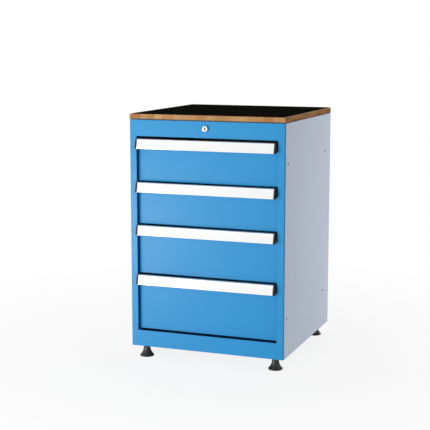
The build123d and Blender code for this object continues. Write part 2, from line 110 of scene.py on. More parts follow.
# Half the floor's width and the camera's reach in metres, and its sensor's width in millimetres
FLOOR_REACH = 14.0
CAMERA_REACH = 100.0
SENSOR_WIDTH = 36.0


def printed_colour(red, green, blue):
    """A colour given as it looks on a screen, from 0 to 255, as the linear values that shaders take."""
    def linear(value):
        share = value / 255
        return share / 12.92 if share <= 0.04045 else ((share + 0.055) / 1.055) ** 2.4
    return (linear(red), linear(green), linear(blue))


def shade(colour, factor):
    """A colour made lighter or darker, with its alpha."""
    return tuple(min(1.0, value * factor) for value in colour[:3]) + (1.0,)


# Settings that a user would change

def colour_setting(name, description, default):
    return bpy.props.FloatVectorProperty(
        name=name, description=description, default=default, subtype="COLOR", size=3, min=0.0, max=1.0)


def length_setting(name, description, millimetres):
    length = millimetres * MILLIMETRE
    return bpy.props.FloatProperty(
        name=name, description=description, default=length, unit="LENGTH", precision=5, min=0.0)


def share_setting(name, description, default):
    return bpy.props.FloatProperty(
        name=name, description=description, default=default, subtype="FACTOR", min=0.0, max=1.0)


def power_setting(name, description, default):
    return bpy.props.FloatProperty(name=name, description=description, default=default, unit="POWER", min=0.0)


def angle_setting(name, description, degrees):
    return bpy.props.FloatProperty(
        name=name, description=description, default=math.radians(degrees), subtype="ANGLE")


class CabinetPaint(bpy.types.PropertyGroup):
    """Powder coat of the body and the drawers"""
    blue: colour_setting(
        "Frame blue", "Paint of the front frame and the drawer fronts", printed_colour(44, 150, 210))
    grey: colour_setting(
        "Panel grey", "Paint of the side, back and inner panels", printed_colour(196, 204, 219))
    tray_grey: colour_setting("Tray grey", "Paint inside the drawers", printed_colour(186, 191, 203))
    peel_size: length_setting("Orange peel", "Distance between the bumps of the coat", 1.6)
    peel_depth: length_setting("Peel depth", "Height of the bumps of the coat", 0.02)
    edge_radius: length_setting("Edge softness", "Radius that the coat rounds sharp sheet edges to", 0.5)
    roughness: share_setting("Blue roughness", "Roughness of the blue coat", 0.42)
    shine: share_setting("Blue shine", "Strength of the blue coat's reflections", 0.22)
    grey_roughness: share_setting("Grey roughness", "Roughness of the grey coats", 0.62)
    grey_shine: share_setting("Grey shine", "Strength of the grey coats' reflections", 0.05)


class CabinetWorktop(bpy.types.PropertyGroup):
    """Wooden board and rubber mat"""
    light_wood: colour_setting("Light stave", "Tone of the palest staves", printed_colour(211, 168, 117))
    dark_wood: colour_setting("Dark stave", "Tone of the darkest staves", printed_colour(180, 126, 75))
    stave_width: length_setting("Stave width", "Width of one glued stave", 30.0)
    stave_length: length_setting("Stave length", "Length of one stave between its end joints", 330.0)
    ring_width: length_setting("Ring width", "Distance between growth rings", 2.6)
    edge_tint: colour_setting("Edge tint", "Tint of the long edges beside the end grain", (0.56, 0.52, 0.48))
    edge_streak: length_setting("Edge streaks", "Distance between the streaks along those edges", 4.5)
    wood_shine: share_setting("Wood shine", "Strength of the board's reflections", 0.12)
    rubber: colour_setting("Mat rubber", "Colour of the mat", printed_colour(29, 30, 24))
    rib_pitch: length_setting("Rib pitch", "Distance between the mat's ribs", 3.0)
    rib_width: length_setting("Rib width", "Width of the mat's ribs", 1.8)
    rib_height: length_setting("Rib height", "Height of the mat's ribs", 0.7)
    rib_border: length_setting("Rib border", "Plain border around the ribs", 2.5)


class CabinetHardware(bpy.types.PropertyGroup):
    """Handles, lock, runners, fixings and feet"""
    aluminium: colour_setting("Aluminium", "Anodised handle section", (0.90, 0.91, 0.92))
    card: colour_setting("Label card", "Blank label strip", (0.97, 0.97, 0.965))
    moulding: colour_setting("End caps", "Moulded handle caps", printed_colour(30, 26, 23))
    cap_roughness: share_setting("Cap roughness", "Roughness of the handle caps", 0.5)
    foot_black: colour_setting("Feet", "Moulded foot pads", printed_colour(48, 46, 45))
    foot_roughness: share_setting("Foot roughness", "Roughness of the foot pads", 0.42)
    zinc: colour_setting("Zinc plate", "Runners, rivets and the lock's rod", (0.60, 0.61, 0.62))
    black_oxide: colour_setting("Black oxide", "Blackened studs and bushes", (0.03, 0.03, 0.032))
    chrome: colour_setting("Lock", "Bright plated lock", (0.88, 0.89, 0.90))
    rivet_radius: length_setting("Rivet radius", "Radius of the back panel's rivet heads", 3.2)
    rivet_height: length_setting("Rivet height", "Height of the back panel's rivet heads", 1.3)
    rivet_inset: length_setting("Rivet inset", "Distance of the rivets from the panel's edge", 8.0)
    rivet_pitch: length_setting("Rivet pitch", "Largest distance between rivets", 110.0)
    thread_pitch: length_setting("Thread pitch", "Pitch of the feet's studs", 1.5)
    hem_radius: length_setting("Tray hem", "Radius of the rolled top edges of the trays", 1.5)
    pad_round: length_setting("Pad rounding", "Radius of the foot pads' rim and depth of their hollow", 1.3)
    pad_lip: length_setting("Pad lip", "Width of the ring that the foot pads stand on", 5.0)
    pad_slope: length_setting("Pad slope", "Width of the slope from that ring to the hollow", 1.0)
    pad_collar: length_setting("Pad collar", "Chamfer round the top of the foot pads", 0.8)
    pad_rim: share_setting("Pad rim", "Height of the rim as a share of the pad's height", 0.11)
    pad_bell: share_setting("Pad bell", "Height of the bell as a share of the pad's height", 0.74)
    pad_neck: share_setting("Pad neck", "Radius of the neck as a share of the pad's radius", 0.48)


class CabinetStage(bpy.types.PropertyGroup):
    """Floor, lamps and camera"""
    camera_place: bpy.props.FloatVectorProperty(
        name="Camera place", description="Where the camera stands", default=(1.364, -3.792, 1.124),
        subtype="TRANSLATION", size=3)
    camera_turn: angle_setting("Camera turn", "Turn of the camera to the left", 20.71)
    camera_tilt: angle_setting("Camera tilt", "Tilt of the camera below level", 9.0)
    lens: bpy.props.FloatProperty(
        name="Lens", description="Focal length on a 36 mm sensor", default=94.25, unit="CAMERA", min=1.0)
    sky: bpy.props.FloatProperty(
        name="Sky light", description="Strength of the white surround as a light", default=0.40, min=0.0)
    key: power_setting("Key lamp", "Power of the low lamp in front", 40.5)
    sheen: power_setting("Sheen lamp", "Power of the lamp at the left that only shows as a sheen", 36.0)
    side: power_setting("Side lamp", "Power of the lamp at the right", 30.0)
    rear: power_setting("Rear lamp", "Power of the lamp behind on the left", 30.0)
    floor_tone: share_setting("Floor tone", "Brightness of the floor", 0.92)
    floor_white: share_setting(
        "Floor white", "Share of the white surround in the floor near the cabinet", 0.86)
    fade_start: length_setting("Fade start", "Distance at which the floor starts to turn white", 500.0)
    fade_end: length_setting("Fade end", "Distance at which the floor is as white as the surround", 1700.0)


SETTING_GROUPS = {
    "cabinet_paint": CabinetPaint,
    "cabinet_worktop": CabinetWorktop,
    "cabinet_hardware": CabinetHardware,
    "cabinet_stage": CabinetStage,
}


# Node trees

class Wiring:
    """Short ways to add nodes to a tree."""

    def __init__(self, tree):
        self.tree = tree

    def node(self, kind, inputs=None, **settings):
        """A new node, which gets its settings before its inputs."""
        made = self.tree.nodes.new(kind)
        for key, value in settings.items():
            setattr(made, key, value)
        for key, value in (inputs or {}).items():
            self.feed(made.inputs[key], value)
        return made

    def feed(self, socket, value):
        """Set a socket, or link it where the value is another socket or a list of them."""
        for item in value if isinstance(value, list) else [value]:
            if isinstance(item, bpy.types.NodeSocket):
                self.tree.links.new(item, socket)
            else:
                socket.default_value = item

    def maths(self, operation, first, second=0.0):
        return self.node("ShaderNodeMath", {0: first, 1: second}, operation=operation).outputs["Value"]


class Finish(Wiring):
    """A material with one Principled shader, and short ways to build its pattern."""

    def __init__(self, name):
        self.material = bpy.data.materials.get(name) or bpy.data.materials.new(name)
        self.material.use_nodes = True
        super().__init__(self.material.node_tree)
        self.tree.nodes.clear()
        self.shader = self.node("ShaderNodeBsdfPrincipled")
        self.out = self.node("ShaderNodeOutputMaterial", {"Surface": self.shader.outputs["BSDF"]})
        self.place = self.node("ShaderNodeTexCoord").outputs["Object"]

    def set(self, **inputs):
        """Set the shader's own sockets, with spaces written as underscores."""
        for key, value in inputs.items():
            self.feed(self.shader.inputs[key.replace("_", " ")], value)
        return self

    def stretch(self, scale):
        """Object coordinates times a scale on each axis."""
        return self.node("ShaderNodeMapping", {"Vector": self.place, "Scale": scale}).outputs["Vector"]

    def axes(self, vector=None):
        """The three numbers of a vector, of the object coordinates where none is given."""
        split = self.node("ShaderNodeSeparateXYZ", {"Vector": self.place if vector is None else vector})
        return split.outputs["X"], split.outputs["Y"], split.outputs["Z"]

    def facing(self):
        """The three numbers of the direction in which the surface looks."""
        return self.axes(self.node("ShaderNodeNewGeometry").outputs["Normal"])

    def noise(self, scale=1.0, detail=2.0, roughness=0.5, vector=None):
        where = self.place if vector is None else vector
        inputs = {"Vector": where, "Scale": scale, "Detail": detail, "Roughness": roughness}
        return self.node("ShaderNodeTexNoise", inputs).outputs["Fac"]

    def off(self, value, middle):
        """How far a value lies from a middle, to either side."""
        return self.maths("ABSOLUTE", self.maths("SUBTRACT", value, middle))

    def far(self, first, second):
        """Distance from two offsets at right angles."""
        first_square = self.maths("MULTIPLY", first, first)
        second_square = self.maths("MULTIPLY", second, second)
        return self.maths("SQRT", self.maths("ADD", first_square, second_square))

    def spread(self, value, low=0.0, high=1.0, start=0.35, end=0.65):
        """A value between start and end, spread between low and high."""
        inputs = {"Value": value, "From Min": start, "From Max": end, "To Min": low, "To Max": high}
        return self.node("ShaderNodeMapRange", inputs).outputs["Result"]

    def blend(self, share, first, second, mode="MIX"):
        made = self.node("ShaderNodeMix", data_type="RGBA", blend_type=mode)
        self.feed(made.inputs["Factor"], share)
        self.feed(made.inputs["A"], first)
        self.feed(made.inputs["B"], second)
        return made.outputs["Result"]

    def vary(self, value, colour, darkest, lightest, start=0.35, end=0.65):
        """A colour that goes from a darker shade of itself to a lighter one as a value rises."""
        share = self.spread(value, start=start, end=end)
        return self.blend(share, shade(colour, darkest), shade(colour, lightest))

    def bump(self, height, distance, strength, rounding=0.0):
        """The direction of a surface with a pattern of bumps, and with edges that look rounded."""
        inputs = {"Height": height, "Distance": distance, "Strength": strength}
        if rounding > 0.0:
            bevel = self.node("ShaderNodeBevel", {"Radius": rounding}, samples=6)
            inputs["Normal"] = bevel.outputs["Normal"]
        return self.node("ShaderNodeBump", inputs).outputs["Normal"]


class Growth(Wiring):
    """A Geometry Nodes tree with named inputs, which ends in Realize Instances and Set Material."""

    def __init__(self, name, lengths):
        super().__init__(bpy.data.node_groups.new(name, "GeometryNodeTree"))
        self.tree.interface.new_socket("Geometry", in_out="OUTPUT", socket_type="NodeSocketGeometry")
        self.tree.interface.new_socket("Seeds", in_out="INPUT", socket_type="NodeSocketGeometry")
        for label in lengths:
            self.tree.interface.new_socket(label, in_out="INPUT", socket_type="NodeSocketFloat")
        self.tree.interface.new_socket("Finish", in_out="INPUT", socket_type="NodeSocketMaterial")
        self.inputs = self.tree.nodes.new("NodeGroupInput").outputs

    def vector(self, x=0.0, y=0.0, z=0.0):
        return self.node("ShaderNodeCombineXYZ", {"X": x, "Y": y, "Z": z}).outputs["Vector"]

    def shift(self, geometry, **change):
        """Geometry moved by Translation, turned by Rotation or sized by Scale."""
        return self.node("GeometryNodeTransform", {"Geometry": geometry, **change}).outputs["Geometry"]

    def sweep(self, path, sides, radius):
        """A rod with a round section along a path, closed at its ends."""
        section = self.node("GeometryNodeCurvePrimitiveCircle", {"Resolution": sides, "Radius": radius})
        inputs = {"Curve": path, "Profile Curve": section.outputs["Curve"], "Fill Caps": True}
        return self.node("GeometryNodeCurveToMesh", inputs).outputs["Mesh"]

    def place(self, points, shape):
        inputs = {"Points": points, "Instance": shape}
        return self.node("GeometryNodeInstanceOnPoints", inputs).outputs["Instances"]

    def join(self, *parts):
        return self.node("GeometryNodeJoinGeometry", {"Geometry": list(parts)}).outputs["Geometry"]

    def close(self, whole):
        """Realize the instances and set the finish."""
        real = self.node("GeometryNodeRealizeInstances", {"Geometry": whole}).outputs["Geometry"]
        inputs = {"Geometry": real, "Material": self.inputs["Finish"]}
        painted = self.node("GeometryNodeSetMaterial", inputs).outputs["Geometry"]
        self.node("NodeGroupOutput", {"Geometry": painted})
        return self.tree


# Finishes

def bolt_hole_shade(finish):
    """Painted shade: one on the walls of the four side holes and on whatever lies in line with them, fading
    out just past their rim; the holes lie evenly about the bolt pattern's middle.
    """
    _, along, up = finish.axes()
    middle = SIDE_BOLTS["pos_m"]
    sizes = SIDE_BOLTS["dims"]
    half_depth = sizes["spacing_x_mm"] * MILLIMETRE / 2
    half_height = sizes["spacing_y_mm"] * MILLIMETRE / 2
    beside = finish.maths("SUBTRACT", finish.off(along, middle[1]), half_depth)
    above = finish.maths("SUBTRACT", finish.off(up, middle[2]), half_height)
    rim = sizes["hole_r_mm"] * MILLIMETRE
    dark_end = rim + 0.05 * MILLIMETRE
    plain_start = rim + 0.3 * MILLIMETRE
    return finish.spread(finish.far(beside, above), 1.0, 0.0, dark_end, plain_start)


def lap_seam_shade(finish):
    """Painted shade: nearly one along the outer corner of the posts, just ahead of where the side panels meet
    them, as the shadow of that seam.
    """
    across, along, _ = finish.axes()
    outside = SIDE_HIGH.x - 0.5 * MILLIMETRE
    plain_end = SIDE_LOW.y - 6.5 * MILLIMETRE
    dark_start = SIDE_LOW.y - 3.5 * MILLIMETRE
    meeting = SIDE_LOW.y + 0.05 * MILLIMETRE
    outer = finish.maths("GREATER_THAN", finish.maths("ABSOLUTE", across), outside)
    near = finish.spread(along, 0.0, 0.9, plain_end, dark_start)
    ahead = finish.maths("LESS_THAN", along, meeting)
    return finish.maths("MULTIPLY", outer, finish.maths("MULTIPLY", near, ahead))


def powder_coat(name, colour, roughness, shine, settings, shade_holes_and_seam=False):
    """Baked paint with a fine orange peel and the faintest clouds, and painted shade at its side holes and
    lap seam where that is asked for.
    """
    finish = Finish(name)
    tone = finish.vary(finish.noise(scale=2.2), colour, darkest=0.985, lightest=1.015)
    speckle = finish.noise(scale=700.0, detail=1.0)
    tone = finish.blend(finish.spread(speckle, high=0.35), tone, shade(colour, 1.06))
    # Painted shade in the side holes and along the lap seam, blended towards a near-black tone
    if shade_holes_and_seam:
        shade_mask = finish.maths("MAXIMUM", bolt_hole_shade(finish), lap_seam_shade(finish))
        tone = finish.blend(shade_mask, tone, PAINTED_SHADE_TONE)
    gloss = finish.spread(finish.noise(scale=24.0), roughness - 0.012, roughness + 0.012)
    peel = finish.noise(scale=1.0 / settings.peel_size, detail=1.5)
    normal = finish.bump(peel, settings.peel_depth, strength=0.6, rounding=settings.edge_radius)
    return finish.set(Base_Color=tone, Roughness=gloss, Normal=normal, Specular_IOR_Level=shine).material


def anodised_aluminium(colour):
    """Satin extrusion with fine drawing lines along its length."""
    finish = Finish("anodised_aluminium")
    lines = finish.noise(detail=3.0, roughness=0.6, vector=finish.stretch((3.0, 2600.0, 2600.0)))
    patches = finish.noise(scale=9.0)
    tone = finish.vary(lines, colour, darkest=0.96, lightest=1.04)
    mixed = finish.maths("ADD", finish.maths("MULTIPLY", lines, 0.7), finish.maths("MULTIPLY", patches, 0.3))
    gloss = finish.spread(mixed, 0.26, 0.38)
    normal = finish.bump(lines, 0.02 * MILLIMETRE, strength=0.5, rounding=0.3 * MILLIMETRE)
    return finish.set(Base_Color=tone, Metallic=0.55, Roughness=gloss, Normal=normal).material


def label_card(colour):
    """Blank white card under a clear film, with faint fibres."""
    finish = Finish("label_card")
    fibres = finish.noise(scale=420.0, detail=4.0, roughness=0.7)
    tone = finish.vary(fibres, colour, darkest=0.98, lightest=1.02)
    normal = finish.bump(finish.noise(scale=60.0), 0.05 * MILLIMETRE, strength=0.3)
    finish.set(Base_Color=tone, Roughness=0.5, Normal=normal)
    return finish.set(Coat_Weight=0.5, Coat_Roughness=0.12).material


def moulded_plastic(name, colour, roughness):
    """Black moulding with a fine spark grain and rubbed lighter patches."""
    finish = Finish(name)
    grain = finish.node("ShaderNodeTexVoronoi", {"Vector": finish.place, "Scale": 1500.0}).outputs["Distance"]
    rubbed = finish.noise(scale=55.0, detail=4.0, roughness=0.6)
    tone = finish.vary(rubbed, colour, darkest=0.9, lightest=1.5, start=0.45, end=0.75)
    gloss = finish.spread(rubbed, roughness + 0.08, roughness - 0.08)
    normal = finish.bump(grain, 0.05 * MILLIMETRE, strength=0.4, rounding=0.6 * MILLIMETRE)
    return finish.set(Base_Color=tone, Roughness=gloss, Normal=normal, Specular_IOR_Level=0.3).material


def plated_steel(name, colour):
    """Dull plating with a mottled, slightly warm and cool tone."""
    finish = Finish(name)
    mottle = finish.noise(scale=75.0, detail=5.0, roughness=0.65)
    streaks = finish.noise(detail=3.0, vector=finish.stretch((500.0, 14.0, 500.0)))
    cool = shade((colour[0] * 0.93, colour[1] * 0.96, colour[2]), 0.92)
    warm = shade((colour[0], colour[1] * 0.98, colour[2] * 0.9), 1.05)
    tone = finish.blend(finish.spread(mottle), cool, warm)
    gloss = finish.spread(streaks, 0.30, 0.46)
    normal = finish.bump(streaks, 0.04 * MILLIMETRE, strength=0.35, rounding=0.3 * MILLIMETRE)
    return finish.set(Base_Color=tone, Metallic=1.0, Roughness=gloss, Normal=normal).material


def bright_chrome(colour):
    """Polished face with turning rings round the plug's axis and light wear, and painted shade on the flank
    that faces sideways.
    """
    finish = Finish("bright_chrome")
    across, _, up = finish.axes()
    radius = finish.far(finish.off(across, PLUG_MIDDLE.x), finish.off(up, PLUG_MIDDLE.z))
    rings = finish.maths("SINE", finish.maths("MULTIPLY", radius, 2 * math.pi / TURNING_PITCH))
    wear = finish.noise(scale=260.0, detail=4.0, roughness=0.6)
    tone = finish.vary(wear, colour, darkest=0.95, lightest=1.03)
    # Painted shade: surfaces turned away from the front go towards a near-black tone
    flank = finish.spread(finish.facing()[1], start=-0.8, end=-0.4)
    tone = finish.blend(flank, tone, FLANK_SHADE_TONE)
    gloss = finish.spread(wear, 0.12, 0.24)
    normal = finish.bump(rings, 0.01 * MILLIMETRE, strength=0.3, rounding=0.4 * MILLIMETRE)
    return finish.set(Base_Color=tone, Metallic=1.0, Roughness=gloss, Normal=normal).material


def lock_plug_plate(colour):
    """Bright plug face, with painted shade on the keyway's walls and round its mouth."""
    finish = Finish("lock_plug_plate")
    across, along, up = finish.axes()
    # Painted shade in the keyway: its walls behind the face and its mouth go towards a near-black tone
    face_end = PLUG_LOW.y + 0.1 * MILLIMETRE
    behind = finish.spread(along, start=face_end, end=face_end + KEYWAY_FADE)
    beside = finish.off(across, PLUG_MIDDLE.x)
    above = finish.off(up, PLUG_MIDDLE.z)
    narrow = finish.spread(beside, 1.0, 0.0, KEYWAY_HALF_WIDTH, KEYWAY_HALF_WIDTH + KEYWAY_FADE)
    short = finish.spread(above, 1.0, 0.0, KEYWAY_HALF_HEIGHT, KEYWAY_HALF_HEIGHT + KEYWAY_FADE)
    shade_mask = finish.maths("MAXIMUM", behind, finish.maths("MULTIPLY", narrow, short))
    wear = finish.noise(scale=300.0, detail=4.0, roughness=0.6)
    tone = finish.blend(shade_mask, finish.vary(wear, colour, darkest=0.85, lightest=1.0), KEYWAY_SHADE_TONE)
    gloss = finish.spread(shade_mask, 0.2, 0.8, start=0.0, end=1.0)
    normal = finish.bump(wear, 0.01 * MILLIMETRE, strength=0.3, rounding=0.3 * MILLIMETRE)
    return finish.set(Base_Color=tone, Metallic=1.0, Roughness=gloss, Normal=normal).material


def stave_blocks(finish, settings):
    """Place across staves of swaying width, each stave's number, and the chances of its blocks."""
    across, along, _ = finish.axes()
    sway = finish.noise(detail=1.0, vector=finish.stretch((14.0, 0.0, 0.0)))
    even = finish.maths("DIVIDE", across, settings.stave_width)
    column = finish.maths("ADD", even, finish.maths("MULTIPLY", sway, STAVE_SWAY))
    stave = finish.maths("FLOOR", column)
    stagger = finish.node("ShaderNodeTexWhiteNoise", {"W": stave}, noise_dimensions="1D").outputs["Value"]
    lengths = finish.maths("DIVIDE", along, settings.stave_length)
    row = finish.maths("FLOOR", finish.maths("ADD", lengths, stagger))
    block = finish.node("ShaderNodeCombineXYZ", {"X": stave, "Y": row}).outputs["Vector"]
    draw = finish.node("ShaderNodeTexWhiteNoise", {"Vector": block}, noise_dimensions="3D").outputs["Color"]
    chance = finish.node("ShaderNodeSeparateColor", {"Color": draw}).outputs
    return column, stave, chance


def growth_rings(finish, settings, stave, chance):
    """Rings about a pith, which lies by chance below, in or above each block."""
    across, _, up = finish.axes()
    lowest = BOARD_LOW.z - 60 * MILLIMETRE
    highest = BOARD_HIGH.z + 30 * MILLIMETRE
    pith_across = finish.maths("MULTIPLY", finish.maths("ADD", stave, chance["Red"]), settings.stave_width)
    pith_up = finish.spread(chance["Green"], lowest, highest, start=0.0, end=1.0)
    far = finish.far(finish.off(across, pith_across), finish.off(up, pith_up))
    sway = finish.noise(vector=finish.stretch((12.0, 3.0, 12.0)))
    wavy = finish.maths("ADD", far, finish.maths("MULTIPLY", sway, 12 * MILLIMETRE))
    turn = finish.maths("MULTIPLY", wavy, 2 * math.pi / settings.ring_width)
    return finish.spread(finish.maths("SINE", turn), start=-1.0, end=1.0)


def glued_staves(settings):
    """Beech staves along the depth: each has its own tone and growth rings, with pores along the grain."""
    finish = Finish("beech_staves")
    column, stave, chance = stave_blocks(finish, settings)
    rings = growth_rings(finish, settings, stave, chance)
    pores = finish.noise(detail=3.0, roughness=0.6, vector=finish.stretch((1500.0, 60.0, 1500.0)))
    flecks = finish.noise(detail=1.0, vector=finish.stretch((420.0, 130.0, 420.0)))
    streaks = finish.noise(vector=finish.stretch((0.0, 9.0, 1.0 / settings.edge_streak)))

    every_other = finish.maths("MULTIPLY", finish.maths("PINGPONG", stave, 1.0), ALTERNATING_SHARE)
    by_chance = finish.maths("MULTIPLY", chance["Blue"], 1.0 - ALTERNATING_SHARE)
    paleness = finish.maths("ADD", every_other, by_chance)
    tone = finish.blend(paleness, shade(settings.dark_wood, 1.0), shade(settings.light_wood, 1.0))
    ring_tone = finish.blend(rings, LATE_WOOD, EARLY_WOOD)
    pore_tone = finish.blend(finish.spread(pores, start=0.3, end=0.5), PORE_TINT, WHITE)
    fleck_tone = finish.blend(finish.spread(flecks, start=0.62, end=0.72), WHITE, FLECK_TINT)
    for layer in (ring_tone, pore_tone, fleck_tone):
        tone = finish.blend(1.0, tone, layer, "MULTIPLY")

    sideways = finish.spread(finish.maths("ABSOLUTE", finish.facing()[0]), start=0.5, end=0.9)
    tint = finish.vary(streaks, settings.edge_tint, darkest=0.72, lightest=1.28)
    tone = finish.blend(sideways, tone, finish.blend(1.0, tone, tint, "MULTIPLY"))
    off_middle = finish.off(finish.maths("FRACT", column), 0.5)
    tone = finish.blend(finish.spread(off_middle, high=0.75, start=0.482, end=0.5), tone, GLUE_LINE)
    # Painted shadow: the board's lowest 1.7 mm go most of the way to the shade tone, fading out by 2.5 mm, as
    # the shadow line over the frame
    dark_end = BOARD_LOW.z + 1.7 * MILLIMETRE
    plain_start = BOARD_LOW.z + 2.5 * MILLIMETRE
    under_board_shade = finish.spread(finish.axes()[2], 0.85, 0.0, dark_end, plain_start)
    tone = finish.blend(under_board_shade, tone, PAINTED_SHADE_TONE)

    sanded = finish.spread(pores, 0.52, 0.38)
    gloss = finish.maths("ADD", sanded, finish.maths("MULTIPLY", sideways, EDGE_ROUGHNESS))
    normal = finish.bump(pores, 0.04 * MILLIMETRE, strength=0.5, rounding=1.2 * MILLIMETRE)
    finish.set(Base_Color=tone, Roughness=gloss, Normal=normal)
    return finish.set(Specular_IOR_Level=settings.wood_shine).material


def mat_rubber(colour):
    """Dull black rubber with a dusty bloom."""
    finish = Finish("mat_rubber")
    bloom = finish.noise(scale=14.0, detail=5.0, roughness=0.65)
    grain = finish.noise(scale=1800.0)
    tone = finish.vary(bloom, colour, darkest=0.8, lightest=1.3)
    normal = finish.bump(grain, 0.04 * MILLIMETRE, strength=0.5)
    return finish.set(Base_Color=tone, Roughness=0.95, Normal=normal, Specular_IOR_Level=0.0).material


# Helpers for pieces and meshes

def linked(name, data):
    """A new object at the origin for a mesh, a lamp or a camera."""
    piece = bpy.data.objects.new(name, data)
    bpy.context.scene.collection.objects.link(piece)
    return piece


def finish_piece(piece, material, body, slot, *nodes):
    """Give a piece its material and body, and hide the frame's nodes that it stands for. The slot is not
    used.
    """
    piece.data.materials.clear()
    piece.data.materials.append(material)
    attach(piece, body)
    if nodes:
        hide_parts(*nodes)
    return piece


def dress(material, *names):
    """Give nodes of the frame a finish, and leave their shape as it is."""
    for name in names:
        frame["nodes"][name].material_slots[0].material = material


def smooth_shade(mesh, sharp_angle):
    """Shade a mesh smooth, with edges sharper than the angle left hard."""
    mesh.polygons.foreach_set("use_smooth", [True] * len(mesh.polygons))
    mesh.set_sharp_from_angle(angle=math.radians(sharp_angle))


def lathe(name, outline, centre, sides=96, sharp_angle=32.0):
    """A closed outline of (radius, height) points, turned about an upright axis."""
    mesh = bpy.data.meshes.new(name)
    shape = bmesh.new()
    rings = []
    for radius, height in outline:
        count = sides if radius > 0.0 else 1
        ring = []
        for side in range(count):
            angle = 2 * math.pi * side / sides
            x = centre[0] + radius * math.cos(angle)
            y = centre[1] + radius * math.sin(angle)
            ring.append(shape.verts.new((x, y, height)))
        rings.append(ring)
    for lower, upper in zip(rings, rings[1:]):
        for side in range(sides):
            after = (side + 1) % sides
            corners = [lower[side % len(lower)], lower[after % len(lower)],
                       upper[after % len(upper)], upper[side % len(upper)]]
            shape.faces.new(list(dict.fromkeys(corners)))
    bmesh.ops.recalc_face_normals(shape, faces=shape.faces)
    shape.to_mesh(mesh)
    shape.free()
    smooth_shade(mesh, sharp_angle)
    return linked(name, mesh)


def grow(name, tree, values, seed, sharp_angle=35.0):
    """Run a tree on a seed mesh and keep the result as a plain mesh at the origin."""
    piece = linked(name, seed)
    modifier = piece.modifiers.new("Growth", "NODES")
    modifier.node_group = tree
    for item in tree.interface.items_tree:
        if item.in_out == "INPUT" and item.name in values:
            modifier[item.identifier] = values[item.name]
    bpy.context.view_layer.update()
    result = bpy.data.meshes.new_from_object(piece.evaluated_get(bpy.context.evaluated_depsgraph_get()))
    piece.modifiers.remove(modifier)
    piece.data = result
    smooth_shade(result, sharp_angle)
    return piece


def point_mesh(name, points, joined=False):
    """A seed mesh of loose points, or of points joined by edges in order."""
    mesh = bpy.data.meshes.new(name)
    edges = [(number, number + 1) for number in range(len(points) - 1)] if joined else []
    mesh.from_pydata(points, edges, [])
    return mesh


# Geometry Nodes trees for what repeats or follows a path

def mat_tree():
    """On each seed point, a slab with half-round ribs from front to back."""
    tree = Growth("mat_ribs", ("Width", "Depth", "Slab", "Rib height", "Rib width", "Rib pitch", "Border"))
    given = tree.inputs
    size = tree.vector(given["Width"], given["Depth"], given["Slab"])
    slab = tree.node("GeometryNodeMeshCube", {"Size": size}).outputs["Mesh"]
    borders = tree.maths("MULTIPLY", given["Border"], 2.0)
    ribbed_width = tree.maths("SUBTRACT", given["Width"], borders)
    rib_length = tree.maths("SUBTRACT", given["Depth"], borders)
    count = tree.maths("FLOOR", tree.maths("DIVIDE", ribbed_width, given["Rib pitch"]))
    half_span = tree.maths("MULTIPLY", tree.maths("MULTIPLY", count, given["Rib pitch"]), -0.5)
    line = tree.node("GeometryNodeMeshLine", {
        "Count": tree.maths("ADD", count, 1.0),
        "Start Location": tree.vector(half_span, 0.0, tree.maths("MULTIPLY", given["Slab"], 0.5)),
        "Offset": tree.vector(given["Rib pitch"]),
    }).outputs["Mesh"]
    rib_size = tree.vector(given["Rib width"], rib_length, tree.maths("MULTIPLY", given["Rib height"], 2.0))
    rib = tree.node("GeometryNodeMeshCylinder", {"Vertices": 10, "Radius": 0.5, "Depth": 1.0}).outputs["Mesh"]
    laid = tree.shift(rib, Rotation=(math.pi / 2, 0.0, 0.0))
    ribs = tree.place(line, tree.shift(laid, Scale=rib_size))
    return tree.close(tree.place(given["Seeds"], tree.join(slab, ribs)))


def rivet_tree():
    """Low domes on the seed's points, facing back."""
    tree = Growth("rivet_heads", ("Radius", "Height"))
    given = tree.inputs
    ball = tree.node("GeometryNodeMeshUVSphere", {"Segments": 20, "Rings": 10, "Radius": 1.0}).outputs["Mesh"]
    head = tree.shift(ball, Scale=tree.vector(given["Radius"], given["Height"], given["Radius"]))
    return tree.close(tree.place(given["Seeds"], head))


def hem_tree():
    """A round edge along the seed's path."""
    tree = Growth("rolled_hem", ("Radius",))
    path = tree.node("GeometryNodeMeshToCurve", {"Mesh": tree.inputs["Seeds"]}).outputs["Curve"]
    return tree.close(tree.sweep(path, 12, tree.inputs["Radius"]))


def thread_tree():
    """On each seed point, a stud core with a raised helix round it."""
    tree = Growth("stud_thread", ("Radius", "Length", "Pitch"))
    given = tree.inputs
    depth = tree.maths("MULTIPLY", given["Pitch"], THREAD_DEPTH)
    ridge_size = tree.maths("MULTIPLY", given["Pitch"], THREAD_RIDGE)
    runout = tree.maths("MULTIPLY", given["Pitch"], THREAD_RUNOUT)
    start = tree.maths("MULTIPLY", given["Pitch"], THREAD_START)
    core = tree.node("GeometryNodeMeshCylinder", {
        "Vertices": 32,
        "Radius": tree.maths("SUBTRACT", given["Radius"], depth),
        "Depth": given["Length"],
    }).outputs["Mesh"]
    raised = tree.shift(core, Translation=tree.vector(z=tree.maths("MULTIPLY", given["Length"], 0.5)))
    threaded = tree.maths("SUBTRACT", given["Length"], runout)
    ridge_radius = tree.maths("SUBTRACT", given["Radius"], ridge_size)
    helix = tree.node("GeometryNodeCurveSpiral", {
        "Resolution": 24,
        "Rotations": tree.maths("DIVIDE", threaded, given["Pitch"]),
        "Start Radius": ridge_radius,
        "End Radius": ridge_radius,
        "Height": threaded,
    }).outputs["Curve"]
    ridge = tree.sweep(tree.shift(helix, Translation=tree.vector(z=start)), 4, ridge_size)
    return tree.close(tree.place(given["Seeds"], tree.join(raised, ridge)))


# Shapes of the pieces

